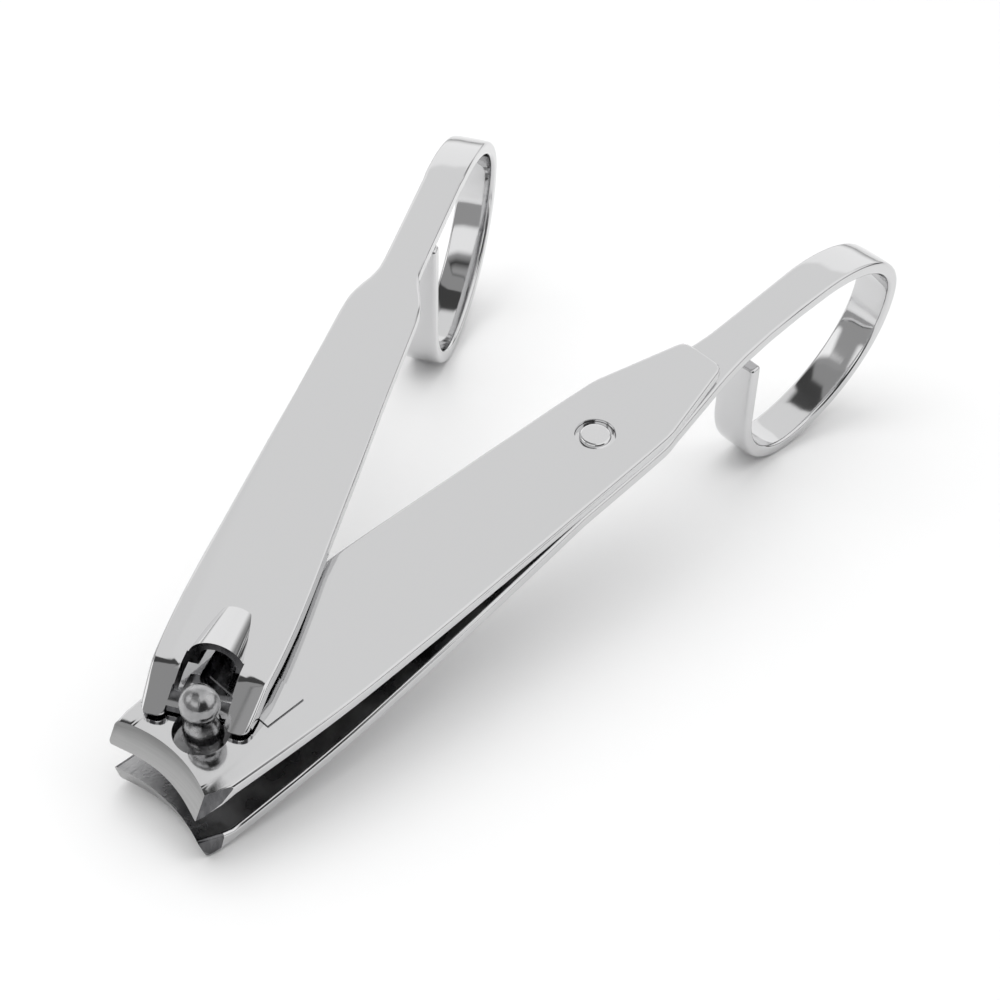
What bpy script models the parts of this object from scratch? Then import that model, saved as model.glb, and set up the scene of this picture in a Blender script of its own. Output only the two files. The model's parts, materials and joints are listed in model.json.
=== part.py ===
"""A 105 mm nail clipper: two riveted jaws, a notched pivot post and a lever, with curled finger rings.

The jaws, the post and the rivet are laid out in the plate frame: its origin is where the post's axis
crosses the top of the upper jaw, +X runs to the tail, +Y to the side the lever is turned to, and +Z is
the plate's normal. The lever is laid out flat in a frame of its own. At the end the whole clipper is
tipped until it rests on its front edge and its two rings, with the origin below its middle.
"""

import math

import bmesh
import bpy
import numpy as np
from mathutils import Matrix, Vector

MM = 0.001

# Sheet metal.
SHEET = 1.6 * MM
EDGE_ROUND = 0.38 * MM
ARC_STEPS = 3

# Plan outline shared by both jaws, as (x, half width) in mm; the tail end tapers to the strap.
JAW_FRONT = -8.5
JAW_OUTLINE = ((-3.7, 6.42), (0, 6.62), (10, 6.95), (20, 6.8), (32, 6.4), (44, 5.9), (54, 5.45))
CORNER_OUTLINE = ((-9, 5.4), (-4.1, 6.3))
JAW_SHOULDER = ((55.5, 5.36), (56.6, 5.2), (57.6, 4.95))
UPPER_TAIL = ((66.0, 2.85), (66.5, 2.62))
UPPER_TAIL_END = 66.9
LOWER_TAIL = ((66.0, 3.2), (68.0, 2.85), (71.0, 2.5), (75.0, 2.35))
LOWER_NARROWER = 0.18
STRAP_HALF_WIDTH = 2.35
RING_HALF_WIDTH = (2.42, 2.22)

# Side view of the lower jaw, in mm: it parts from the upper jaw ahead of the parting line.
PARTING_X = 43.0
LOWER_TOP = -1.9
MOUTH_SLOPE = 0.104
LIP_X = -2.5
LIP_SLOPE = 0.38
LOWER_LIP_THICKENING = 0.4
STRAP_RISE = ((67.0, -1.85), (70.0, -1.65), (75.0, -1.2), (80.0, -0.9))

# Finger ring, as quarter ellipses in mm: (centre x, centre z, x radius, z radius).
RING_TOP = (84.0, -10.0, 14.7, 9.2)
RING_BACK = (82.0, -10.0, 16.7, 13.4)
RING_FRONT = (82.0, -14.0, 9.15, 9.4)
RING_END_Z = -5.6
RING_STEPS = 14

# Ground, hollow faces at the jaws' front, in mm: the cutter's radius, where its surface crosses
# the middle plane at the cutting edge, and its lean from the plate's normal in degrees.
GRIND_RADIUS = 18.0
UPPER_EDGE = (-5.1, -2.4)
UPPER_GRIND_LEAN = 36.0
LOWER_EDGE = (-5.1, -5.55)
LOWER_GRIND_LEAN = -14.0
UPPER_LIP_X = -2.0
UPPER_LIP_LENGTH = 3.2
UPPER_LIP_DROP = 0.03
UPPER_LIP_THICKENING = 0.14

# Flats dressed on the jaws' front corners, on the side away from the lever: a point in mm, and its normal.
UPPER_CORNER = ((-3.95, -5.57, 0), (-0.34, -0.83, 0.44))
LOWER_CORNER = ((-5.35, -5.84, -8), (-0.6, -0.75, -0.28))

# Pivot post.
POST_PROFILE = (
    (1.5, 2.43), (1.48, 2.1), (1.54, 1.5), (1.72, 0.8), (1.82, 0.1), (1.82, -0.9), (1.6, -1.1), (1.6, -7.2),
)
DOME_RADIUS = 1.84
DOME_CENTRE = 3.5
FLANGE = (2.6, -7.2, -7.9)
NOTCH = (1.5, 0.85, 1.3)
UPPER_POST_HOLE = 2.6 * MM
UPPER_HOLE_AT = (-0.3 * MM, -0.1 * MM)
LOWER_POST_HOLE = 2.0 * MM
FLANGE_RECESS = (2.95, -7.0)

# Tail rivet.
RIVET_X = 50.57 * MM
RIVET_HEAD = 1.55 * MM
RIVET_SHANK = 0.95 * MM
RIVET_HEAD_DEPTH = 0.5 * MM
RIVET_RECESS = 2.07 * MM
RIVET_RECESS_DEPTH = 0.85 * MM
RIVET_HOLE = 1.3 * MM

# Raised pad under the lever's nose.
PAD_X = (4.1, 8.3)
PAD_HALF_WIDTH = 3.9 * MM
PAD_HEIGHT = 0.18 * MM
PAD_ROUND = 0.12 * MM

# Lever, flat: x along it from the post's axis, z down from its top face, in mm.
LEVER_YAW = math.radians(29.1)
LEVER_TILT = math.radians(1.8)
LEVER_TOP_AT_POST = 2.6 * MM
LEVER_SIDE_PLAY = 0.85 * MM
LEVER_OUTLINE = (
    (-0.6, 5.0), (1.0, 5.2), (4.5, 5.5), (6.8, 5.62), (11.5, 5.7), (16, 5.6), (23, 5.28),
    (35, 4.8), (40, 4.55), (47, 4.3), (51.5, 4.15), (54.7, 4.0), (56.2, 3.8), (57.8, 3.3),
    (59.3, 2.7), (60.7, 2.32), (62.5, 2.18), (64.5, 2.15),
)
LEVER_RING_SHIFT = (-5.9, 0.8)
LEVER_RING_DEEPER = 0.8
LEVER_RING_HALF_WIDTH = 2.22
LEVER_RING_END_Z = -2.0
NOSE_CREASE = 4.5
NOSE_SLOPE = 0.385
NOSE_TIP = -0.25
FOOT_BOTTOM = -2.22
FOOT_INNER = 2.8 * MM
CROSSBAR = (0.75, 2.35, -1.2)
LEVER_AXIS = (1.45, -1.7)
WINDOW_END = 6.0
WINDOW_HALF_WIDTH = 2.7
HOOD_FRONT = (5.6, 2.75, -0.9)
HOOD_BACK = (11.4, 2.1, -1.6)
HOOD_SHEET = 0.85


def half_width(outline, along):
    """Read a smooth curve through an outline's (x, half width) points, in mm, at each x."""
    knots, values = np.array(outline, float).T
    slopes = np.gradient(values, knots)
    cell = np.clip(np.searchsorted(knots, along) - 1, 0, len(knots) - 2)
    span = knots[cell + 1] - knots[cell]
    t = (along - knots[cell]) / span
    start = (1 + 2 * t) * (1 - t) ** 2 * values[cell] + t * (1 - t) ** 2 * span * slopes[cell]
    end = t * t * (3 - 2 * t) * values[cell + 1] + t * t * (t - 1) * span * slopes[cell + 1]
    return start + end


def collection(name):
    found = bpy.data.collections.new(name)
    bpy.context.scene.collection.children.link(found)
    return found


def metal(name, colour, roughness):
    material = bpy.data.materials.new(name)
    material.use_nodes = True
    shader = material.node_tree.nodes["Principled BSDF"]
    shader.inputs["Base Color"].default_value = (*colour, 1)
    shader.inputs["Roughness"].default_value = roughness
    shader.inputs["Metallic"].default_value = 1
    return material


def add_object(name, bm, group, material=None):
    """Turn a bmesh into an object whose faces point out."""
    bmesh.ops.recalc_face_normals(bm, faces=bm.faces)
    mesh = bpy.data.meshes.new(name)
    bm.to_mesh(mesh)
    bm.free()
    made = bpy.data.objects.new(name, mesh)
    group.objects.link(made)
    if material:
        mesh.materials.append(material)
        mesh.shade_smooth()
        mesh.set_sharp_from_angle(angle=math.radians(35))
    else:
        made.hide_render = True
        made.display_type = "WIRE"
    return made


def boolean(target, tool, operation="DIFFERENCE"):
    cut = target.modifiers.new(tool.name, "BOOLEAN")
    cut.operation = operation
    cut.solver = "EXACT"
    cut.object = tool


def rounded_section(half, sheet, rounding):
    """(across, depth) points round a strip's section, its four edges rounded."""
    points = []
    for quarter in range(4):
        side = 1 if quarter in (0, 3) else -1
        level = 1 if quarter in (0, 1) else -1
        for step in range(ARC_STEPS + 1):
            angle = math.radians(90 * (quarter + step / ARC_STEPS))
            across = side * (half - rounding) + rounding * math.cos(angle)
            up = level * (sheet / 2 - rounding) + rounding * math.sin(angle)
            points.append((across, sheet / 2 - up))
    return points


def strip(name, outer, halves, group, material, sheets=None):
    """Loft a strip of sheet: its outer face follows the (x, z) points and its width changes along them."""
    sheets = [SHEET] * len(outer) if sheets is None else sheets
    outer = np.array(outer) * MM
    halves = np.array(halves) * MM
    legs = np.diff(outer, axis=0)
    legs /= np.linalg.norm(legs, axis=1)[:, None]
    ahead = np.vstack([legs, legs[-1:]])
    behind = np.vstack([legs[:1], legs])
    tangent = ahead + behind
    tangent /= np.linalg.norm(tangent, axis=1)[:, None]
    mitre = 1 / np.sum(tangent * ahead, axis=1)
    inward = np.column_stack([tangent[:, 1], -tangent[:, 0]]) * mitre[:, None]
    bm = bmesh.new()
    rings = []
    for place, normal, half, sheet in zip(outer, inward, halves, sheets):
        ring = []
        for across, depth in rounded_section(half, sheet, EDGE_ROUND):
            x, z = place + normal * depth
            ring.append(bm.verts.new((x, across, z)))
        rings.append(ring)
    for first, second in zip(rings, rings[1:]):
        for i in range(len(first)):
            j = (i + 1) % len(first)
            bm.faces.new((first[i], first[j], second[j], second[i]))
    bm.faces.new(rings[0])
    bm.faces.new(rings[-1])
    return add_object(name, bm, group, material)


def ring_path(end_z, shift=(0, 0), deeper=0):
    """Outer points of a finger ring in mm, from the strap's end round to its free end."""
    back_x, back_z, back_rx, back_rz = RING_BACK
    front_x, front_z, front_rx, front_rz = RING_FRONT
    turns = (
        (RING_TOP, 90, 0),
        ((back_x, back_z, back_rx, back_rz + deeper), 0, -90),
        ((front_x, front_z - deeper, front_rx, front_rz), -90, -180),
    )
    points = []
    for (x, z, rx, rz), start, stop in turns:
        for step in range(RING_STEPS):
            angle = math.radians(start + (stop - start) * step / RING_STEPS)
            points.append((x + rx * math.cos(angle), z + rz * math.sin(angle)))
    left = front_x - front_rx
    points.append((left, front_z - deeper))
    points = [(x + shift[0], z + shift[1]) for x, z in points]
    return points + [(left + shift[0], end_z)]


def box(name, low, high, group, material=None):
    """A box from its two corners, in metres."""
    bm = bmesh.new()
    size = Vector(high) - Vector(low)
    middle = (Vector(high) + Vector(low)) / 2
    bmesh.ops.create_cube(bm, size=1, matrix=Matrix.Translation(middle) @ Matrix.Diagonal((*size, 1)))
    return add_object(name, bm, group, material)


def rod(name, radius, low, high, group, segments=64, radius_high=None):
    """A cylinder, or a cone with radius_high, between two points in metres."""
    bm = bmesh.new()
    along = Vector(high) - Vector(low)
    turn = along.to_track_quat("Z", "Y").to_matrix().to_4x4()
    place = Matrix.Translation((Vector(high) + Vector(low)) / 2) @ turn
    bmesh.ops.create_cone(
        bm,
        cap_ends=True,
        segments=segments,
        radius1=radius,
        radius2=radius if radius_high is None else radius_high,
        depth=along.length,
        matrix=place,
    )
    return add_object(name, bm, group)


def turned(name, profile, group, material, steps=48):
    """Turn an (r, z) profile in mm, listed from top to bottom down its outer side, about Z."""
    bm = bmesh.new()
    verts = [bm.verts.new((r * MM, 0, z * MM)) for r, z in profile]
    for first, second in zip(verts, verts[1:]):
        bm.edges.new((first, second))
    mesh = bpy.data.meshes.new(name)
    bm.to_mesh(mesh)
    bm.free()
    mesh.materials.append(material)
    made = bpy.data.objects.new(name, mesh)
    group.objects.link(made)
    screw = made.modifiers.new("turn", "SCREW")
    screw.axis = "Z"
    screw.steps = steps
    screw.render_steps = steps
    screw.use_merge_vertices = True
    screw.merge_threshold = 0.00001
    screw.use_smooth_shade = True
    return made


def jaw_widths(xs, tail, narrower=0):
    """Half widths in mm: straight ground corners, a smooth blade, a shoulder and a straight taper."""
    outline = JAW_OUTLINE + JAW_SHOULDER
    widths = []
    for x in xs:
        if x < JAW_OUTLINE[0][0]:
            width = np.interp(x, *np.array(CORNER_OUTLINE + JAW_OUTLINE[:1], float).T)
        elif x > JAW_SHOULDER[-1][0]:
            width = np.interp(x, *np.array(JAW_SHOULDER[-1:] + tail, float).T)
        else:
            width = half_width(outline, np.array(x))
        fade = np.interp(x, (-9, JAW_SHOULDER[0][0], tail[-1][0]), (1, 1, 0))
        widths.append(float(width) - narrower * float(fade))
    return widths


def lower_top(x):
    """Height of the lower jaw's inner face, in mm."""
    if x < LIP_X:
        return lower_top(LIP_X) + LIP_SLOPE * (LIP_X - x)
    return LOWER_TOP - MOUTH_SLOPE * max(0.0, PARTING_X - x)


def grind(name, edge, lean, group):
    """The cylinder that grinds a jaw's hollow front: it passes through the edge's middle and leans."""
    lean = math.radians(lean)
    axis = Vector((math.sin(lean), 0, math.cos(lean)))
    ahead = Vector((-math.cos(lean), 0, math.sin(lean)))
    middle = Vector((edge[0] * MM, 0, edge[1] * MM)) + ahead * GRIND_RADIUS * MM
    reach = axis * 14 * MM
    return rod(name, GRIND_RADIUS * MM, middle - reach, middle + reach, group, 160)


def dress_corner(jaw, corner, group):
    """Cut the flat that is dressed on a jaw's front corner."""
    at, normal = corner
    tool = box(f"{jaw.name}_flat", (0, -9 * MM, -9 * MM), (9 * MM, 9 * MM, 9 * MM), group)
    turn = Vector(normal).to_track_quat("X", "Z").to_matrix().to_4x4()
    turn.translation = Vector(at) * MM
    tool.data.transform(turn)
    boolean(jaw, tool)


def build_upper_jaw(parts, cutters, chrome):
    xs = [JAW_FRONT, -5.5, -4.1, -3.7, -2.8, UPPER_LIP_X, 1, 5, 9, 13, 18, 25, 32, 39, PARTING_X, 48, 54]
    xs += [x for x, _ in JAW_SHOULDER] + [x for x, _ in UPPER_TAIL] + [UPPER_TAIL_END]
    ahead = [min(max(0, UPPER_LIP_X - x), UPPER_LIP_LENGTH) for x in xs]
    outer = [(x, -UPPER_LIP_DROP * lip) for x, lip in zip(xs, ahead)]
    sheets = [SHEET + UPPER_LIP_THICKENING * lip * MM for lip in ahead]
    tail = UPPER_TAIL + ((UPPER_TAIL_END, 2.3),)
    jaw = strip("upper_jaw", outer, jaw_widths(xs, tail), parts, chrome, sheets)
    pad = box(
        "pad_stamp",
        (PAD_X[0] * MM, -PAD_HALF_WIDTH, -SHEET / 2),
        (PAD_X[1] * MM, PAD_HALF_WIDTH, PAD_HEIGHT),
        cutters,
    )
    rounds = pad.modifiers.new("rounds", "BEVEL")
    rounds.width = PAD_ROUND
    rounds.segments = 2
    boolean(jaw, pad, "UNION")
    boolean(jaw, grind("upper_grind", UPPER_EDGE, UPPER_GRIND_LEAN, cutters))
    dress_corner(jaw, UPPER_CORNER, cutters)
    hole = rod("upper_post_hole", UPPER_POST_HOLE, (*UPPER_HOLE_AT, -4 * MM), (*UPPER_HOLE_AT, 2 * MM), cutters)
    boolean(jaw, hole)
    low = (RIVET_X, 0, -4 * MM)
    boolean(jaw, rod("upper_rivet_hole", RIVET_HOLE, low, (RIVET_X, 0, MM), cutters, 40))
    ledge = (RIVET_X, 0, -RIVET_RECESS_DEPTH)
    boolean(jaw, rod("upper_rivet_recess", RIVET_RECESS, ledge, (RIVET_X, 0, MM), cutters, 48))
    return jaw


def build_lower_jaw(parts, cutters, chrome):
    xs = [JAW_FRONT, -5.5, -4.1, -3.7, LIP_X, 0, 5, 10, 15, 20, 26, 32, 38, PARTING_X, 48, 54]
    xs += [x for x, _ in JAW_SHOULDER] + [61, 64]
    rise = [x for x, _ in STRAP_RISE] + [68.5, 72.5, 77.5]
    rise.sort()
    outer = [(x, lower_top(x)) for x in xs]
    outer += [(x, float(half_width(STRAP_RISE, np.array(x)))) for x in rise]
    ring = ring_path(RING_END_Z)
    widths = jaw_widths(xs + rise, LOWER_TAIL, LOWER_NARROWER)
    widths += np.linspace(*RING_HALF_WIDTH, len(ring)).tolist()
    sheets = [SHEET + LOWER_LIP_THICKENING * max(0, LIP_X - x) * MM for x, _ in outer + ring]
    jaw = strip("lower_jaw", outer + ring, widths, parts, chrome, sheets)
    boolean(jaw, grind("lower_grind", LOWER_EDGE, LOWER_GRIND_LEAN, cutters))
    dress_corner(jaw, LOWER_CORNER, cutters)
    low = (0, 0, -12 * MM)
    boolean(jaw, rod("lower_post_hole", LOWER_POST_HOLE, low, (0, 0, -4 * MM), cutters))
    radius, level = FLANGE_RECESS
    boolean(jaw, rod("flange_recess", radius * MM, low, (0, 0, level * MM), cutters))
    bottom = (RIVET_X, 0, -6 * MM)
    boolean(jaw, rod("lower_rivet_hole", RIVET_HOLE, bottom, (RIVET_X, 0, 0), cutters, 40))
    ledge = (RIVET_X, 0, LOWER_TOP * MM - SHEET + RIVET_RECESS_DEPTH)
    boolean(jaw, rod("lower_rivet_recess", RIVET_RECESS, bottom, ledge, cutters, 48))
    return jaw


def build_rivet(parts, steel):
    """The shank through both tails, with a flat head flush with each outer face."""
    head = RIVET_HEAD / MM
    shank = RIVET_SHANK / MM
    depth = RIVET_HEAD_DEPTH / MM
    bottom = LOWER_TOP - SHEET / MM
    profile = (
        (0, 0), (head - 0.12, 0), (head, -0.12), (head, -depth), (shank, -depth),
        (shank, bottom + depth), (head, bottom + depth), (head, bottom + 0.12), (head - 0.12, bottom), (0, bottom),
    )
    rivet = turned("tail_rivet", profile, parts, steel, 40)
    rivet.location.x = RIVET_X
    return rivet


def build_post(parts, cutters, steel):
    """The post: domed head, waist, shank through both jaws, foot flange and the lever's notch."""
    start = math.degrees(math.asin((POST_PROFILE[0][1] - DOME_CENTRE) / DOME_RADIUS))
    dome = []
    for step in range(13):
        angle = math.radians(90 + (start - 90) * step / 12)
        dome.append((abs(DOME_RADIUS * math.cos(angle)), DOME_CENTRE + DOME_RADIUS * math.sin(angle)))
    dome[0] = (0, DOME_CENTRE + DOME_RADIUS)
    radius, top, bottom = FLANGE
    flange = ((radius - 0.1, top), (radius, top - 0.1), (radius, bottom + 0.1), (radius - 0.1, bottom), (0, bottom))
    post = turned("pivot_post", tuple(dome) + POST_PROFILE[1:] + flange, parts, steel)
    x, z, r = NOTCH
    across = 6 * MM
    notch = rod("post_notch", r * MM, (x * MM, -across, z * MM), (x * MM, across, z * MM), cutters)
    boolean(post, notch)
    return post, notch


def lever_top(x):
    """Height of the flat lever's top face in mm: zero, then down the bent nose."""
    return -NOSE_SLOPE * max(0.0, NOSE_CREASE - x)


def hood(name, grow, start, stop, group):
    """A cone along the lever's hood: its radius and centre height run between two stations."""
    x0, r0, z0 = HOOD_FRONT
    x1, r1, z1 = HOOD_BACK
    ends = []
    radii = []
    for x in (start, stop):
        part = (x - x0) / (x1 - x0)
        ends.append(Vector((x, 0, z0 + part * (z1 - z0))) * MM)
        radii.append((r0 + part * (r1 - r0) + grow) * MM)
    return rod(name, radii[0], ends[0], ends[1], group, 48, radii[1])


def keep_above(made, level):
    """Cut a closed mesh off at a height and cap it."""
    bm = bmesh.new()
    bm.from_mesh(made.data)
    everything = bm.verts[:] + bm.edges[:] + bm.faces[:]
    below = bmesh.ops.bisect_plane(
        bm, geom=everything, plane_co=(0, 0, level), plane_no=(0, 0, 1), clear_inner=True
    )
    rim = [edge for edge in below["geom_cut"] if isinstance(edge, bmesh.types.BMEdge)]
    bmesh.ops.contextual_create(bm, geom=rim)
    bmesh.ops.recalc_face_normals(bm, faces=bm.faces)
    bm.to_mesh(made.data)
    bm.free()
    return made


def build_lever(parts, cutters, chrome):
    """The lever in its flat frame: strip, hood, window, crossbar and two feet."""
    ring = ring_path(LEVER_RING_END_Z, LEVER_RING_SHIFT, LEVER_RING_DEEPER)
    xs = [NOSE_TIP, 1, 2.5, NOSE_CREASE - 0.5, NOSE_CREASE + 0.2]
    xs += [x for x, _ in LEVER_OUTLINE if x > NOSE_CREASE + 1]
    xs += [67, 70, 73, 76]
    outer = [(x, lever_top(x)) for x in xs] + ring
    knots = LEVER_OUTLINE
    widths = [float(half_width(knots, np.array(min(x, knots[-1][0])))) for x in xs]
    widths += [LEVER_RING_HALF_WIDTH] * len(ring)
    lever = strip("lever", outer, widths, parts, chrome)
    swell = keep_above(hood("hood", 0, HOOD_FRONT[0], HOOD_BACK[0], cutters), -SHEET / 2)
    boolean(lever, swell, "UNION")
    boolean(lever, hood("hood_hollow", -HOOD_SHEET, HOOD_FRONT[0] - 1, HOOD_BACK[0] - 0.2, cutters))
    wide = WINDOW_HALF_WIDTH
    back = CROSSBAR[1]
    window = box("window", (back * MM, -wide * MM, -4 * MM), (WINDOW_END * MM, wide * MM, 4 * MM), cutters)
    boolean(lever, window)
    top = CROSSBAR[2]
    low = ((CROSSBAR[0] - 3) * MM, -FOOT_INNER, top * MM)
    boolean(lever, box("above_crossbar", low, ((back + 0.3) * MM, FOOT_INNER, 4 * MM), cutters))
    low = (-6 * MM, -FOOT_INNER, -6 * MM)
    boolean(lever, box("between_feet", low, (CROSSBAR[0] * MM, FOOT_INNER, 4 * MM), cutters))
    low = (-6 * MM, -9 * MM, -9 * MM)
    boolean(lever, box("foot_level", low, (7 * MM, 9 * MM, FOOT_BOTTOM * MM), cutters))
    return lever


def place_lever(lever, cutters, notch):
    """Hang the lever and its cutters on an empty at the crossbar, turned with the post."""
    x, z = LEVER_AXIS
    turn = Matrix.Rotation(LEVER_YAW, 4, "Z") @ Matrix.Translation((0, LEVER_SIDE_PLAY, LEVER_TOP_AT_POST))
    flat = turn @ Matrix.Rotation(LEVER_TILT, 4, "Y")
    origin = Matrix.Translation((x * MM, 0, z * MM))
    tools = {cut.object for cut in lever.modifiers}
    for piece in [lever, *tools]:
        piece.data.transform(origin.inverted())
        piece.matrix_world = flat @ origin
    notch.matrix_world = Matrix.Rotation(LEVER_YAW, 4, "Z")


def world_points(objects):
    """Every vertex of the finished pieces, in world space."""
    graph = bpy.context.evaluated_depsgraph_get()
    found = {}
    for piece in objects:
        shaped = piece.evaluated_get(graph)
        mesh = shaped.to_mesh()
        count = len(mesh.vertices)
        flat = np.empty(count * 3, np.float32)
        mesh.vertices.foreach_get("co", flat)
        matrix = np.array(shaped.matrix_world)
        found[piece.name] = flat.reshape(count, 3) @ matrix[:3, :3].T + matrix[:3, 3]
        shaped.to_mesh_clear()
    return found


def table_rotation(points):
    """The turn that stands the clipper on its front edge, the body's ring and the lever's ring."""
    jaw = points["lower_jaw"]
    groups = (jaw[jaw[:, 0] < PARTING_X * MM], jaw[jaw[:, 0] > PARTING_X * MM], points["lever"])
    normal = np.array((0.0, 0.0, 1.0))
    for _ in range(12):
        front, ring, lever = (group[np.argmin(group @ normal)] for group in groups)
        normal = np.cross(ring - front, lever - front)
        normal /= np.linalg.norm(normal)
    along = np.array((1.0, 0.0, 0.0)) - normal * normal[0]
    along /= np.linalg.norm(along)
    rows = np.array((along, np.cross(normal, along), normal))
    return Matrix(rows.tolist()).to_4x4()


def stand_on_table(pieces, everything):
    """Tip the clipper onto the table and put the origin under the middle of its box."""
    bpy.context.view_layer.update()
    points = world_points(pieces)
    turn = table_rotation(points)
    rows = np.array(turn)[:3, :3]
    turned_points = np.vstack([p @ rows.T for p in points.values()])
    low = turned_points.min(axis=0)
    high = turned_points.max(axis=0)
    shift = Vector((-(low[0] + high[0]) / 2, -(low[1] + high[1]) / 2, -low[2]))
    table = Matrix.Translation(shift) @ turn
    plate = bpy.data.objects.new("plate_frame", None)
    bpy.context.scene.collection.objects.link(plate)
    for piece in everything:
        piece.parent = plate
    plate.matrix_world = table


def main():
    for old in list(bpy.data.objects):
        bpy.data.objects.remove(old, do_unlink=True)
    parts = collection("nail_clipper")
    cutters = collection("cutters")
    chrome = metal("bright_chrome", (0.83, 0.83, 0.84), 0.08)
    steel = metal("post_steel", (0.55, 0.55, 0.56), 0.22)
    rivet_steel = metal("rivet_chrome", (0.8, 0.8, 0.81), 0.15)
    upper = build_upper_jaw(parts, cutters, chrome)
    lower = build_lower_jaw(parts, cutters, chrome)
    rivet = build_rivet(parts, rivet_steel)
    post, notch = build_post(parts, cutters, steel)
    lever = build_lever(parts, cutters, chrome)
    place_lever(lever, cutters, notch)
    pieces = [upper, lower, rivet, post, lever]
    stand_on_table(pieces, pieces + list(cutters.objects))


main()
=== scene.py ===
"""The looks of the nail clipper: chrome strips with rounded edges, ground faces and a steel post.

Everything is laid out in millimetres in the plate frame: its origin is where the post's axis
crosses the top of the upper jaw, +X runs to the tail and +Z is the plate's normal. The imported
record's joints say where that frame is in the world.
"""

import json
import math

import bmesh
import bpy
import numpy as np
from mathutils import Euler, Matrix, Vector


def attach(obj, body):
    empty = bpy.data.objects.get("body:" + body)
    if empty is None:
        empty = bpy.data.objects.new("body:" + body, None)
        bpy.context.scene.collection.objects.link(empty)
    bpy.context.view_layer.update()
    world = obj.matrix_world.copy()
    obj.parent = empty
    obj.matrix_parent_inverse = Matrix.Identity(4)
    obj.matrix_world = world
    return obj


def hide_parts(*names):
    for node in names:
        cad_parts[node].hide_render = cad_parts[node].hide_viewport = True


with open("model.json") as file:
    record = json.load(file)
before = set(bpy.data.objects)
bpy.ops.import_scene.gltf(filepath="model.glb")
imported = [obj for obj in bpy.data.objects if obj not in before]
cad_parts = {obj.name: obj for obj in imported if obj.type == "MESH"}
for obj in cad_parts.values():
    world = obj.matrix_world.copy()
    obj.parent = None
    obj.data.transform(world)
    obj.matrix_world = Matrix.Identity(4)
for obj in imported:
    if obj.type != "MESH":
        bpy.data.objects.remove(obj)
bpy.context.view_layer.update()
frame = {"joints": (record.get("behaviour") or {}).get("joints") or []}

MM = 0.001

# Meshing: strip stations in mm, segments round cutters and turned parts, how near points are
# merged in metres, and angles in degrees.
STRIP_STEP = 1.5
LIP_STEP = 0.5
SHOULDER_STEP = 0.25
TAPER_STEP = 1.0
RISE_STEP = 0.7
LEVER_STEP = 1.2
LEVER_SHOULDER_STEP = 0.3
CREASE_STEP = 0.15
WAIST_STEP = 0.12
ROD_SEGMENTS = 128
GRIND_SEGMENTS = 720
CORNER_SEGMENTS = 96
TURN_STEPS = 96
TURN_MERGE = 0.000001
MERGE = 0.000003
FLAT_ANGLE = 0.25
BREAK_ANGLE = 30
SHARP_ANGLE = 38

# Sheet metal.
SHEET = 1.6
EDGE_ROUND = 0.38
END_ROUND = EDGE_ROUND * 0.9
ARC_STEPS = 6
ROLL_STEPS = 5
ROLL_WIDTH = 1.5
ROLL_DROP = 0.07
BREAK_EDGE = 0.07
JAW_BREAK_EDGE = 0.13

# Plan outline shared by both jaws, as (x, half width).
JAW_FRONT = -8.5
# Ahead of this x the lower jaw's sides and edges get the near-black material: painted shade.
LOWER_CORNER_X = -3.9
JAW_OUTLINE = ((-3.7, 6.42), (0, 6.62), (10, 6.95), (20, 6.8), (32, 6.4), (44, 5.9), (54, 5.45))
CORNER_OUTLINE = ((-9, 5.4), (-4.1, 6.3))
JAW_SHOULDER = ((55.5, 5.36), (56.6, 5.2), (57.6, 4.95))
JAW_TAPER_X = 58
UPPER_TAIL = ((66.0, 2.85), (66.5, 2.62))
UPPER_TAIL_END = 66.9
UPPER_TAIL_END_HALF_WIDTH = 2.3
LOWER_TAIL = ((66.0, 3.2), (68.0, 2.85), (71.0, 2.5), (75.0, 2.35))
LOWER_NARROWER = 0.18
RING_HALF_WIDTH = (2.42, 2.22)

# Side view of the lower jaw.
PARTING_X = 43.0
LOWER_TOP = -1.9
MOUTH_SLOPE = 0.104
LIP_X = -2.5
LIP_SLOPE = 0.38
LOWER_LIP_THICKENING = 0.4
STRAP_RISE = ((67.0, -1.85), (70.0, -1.65), (75.0, -1.2), (80.0, -0.9))

# Finger ring, as quarter ellipses: (centre x, centre z, x radius, z radius).
RING_TOP = (84.0, -10.0, 14.7, 9.2)
RING_BACK = (82.0, -10.0, 16.7, 13.4)
RING_FRONT = (82.0, -14.0, 9.15, 9.4)
RING_END_Z = -5.6
RING_STEPS = 40

# Ground, hollow faces at the jaws' front.
GRIND_RADIUS = 18.0
GRIND_REACH = 14
UPPER_EDGE = (-5.1, -2.4)
UPPER_GRIND_LEAN = 36.0
LOWER_EDGE = (-5.1, -5.55)
LOWER_GRIND_LEAN = -14.0
UPPER_LIP_X = -2.0
UPPER_LIP_LENGTH = 3.2
UPPER_LIP_DROP = 0.03
UPPER_LIP_THICKENING = 0.14

# Flats dressed on the jaws' front corners, on the side away from the lever: a point on the flat
# and its outward normal.
UPPER_CORNER = ((-3.95, -5.57, 0), (-0.34, -0.83, 0.44))
LOWER_CORNER = ((-5.35, -5.84, -8), (-0.6, -0.75, -0.28))

# Pivot post, as (radius, z).
POST_PROFILE = (
    (1.5, 2.43), (1.48, 2.1), (1.54, 1.5), (1.72, 0.8), (1.82, 0.1),
    (1.82, -0.9), (1.6, -1.1), (1.6, -7.2),
)
POST_WAIST_POINTS = 5
DOME_STEPS = 32
DOME_RADIUS = 1.84
DOME_CENTRE = 3.5
FLANGE = (2.6, -7.2, -7.9)
FLANGE_CHAMFER = 0.1
NOTCH = (1.5, 0.85, 1.3)
UPPER_POST_HOLE = 2.6
UPPER_HOLE_AT = (-0.3, -0.1)
LOWER_POST_HOLE = 2.0
FLANGE_RECESS = (2.95, -7.0)

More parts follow.
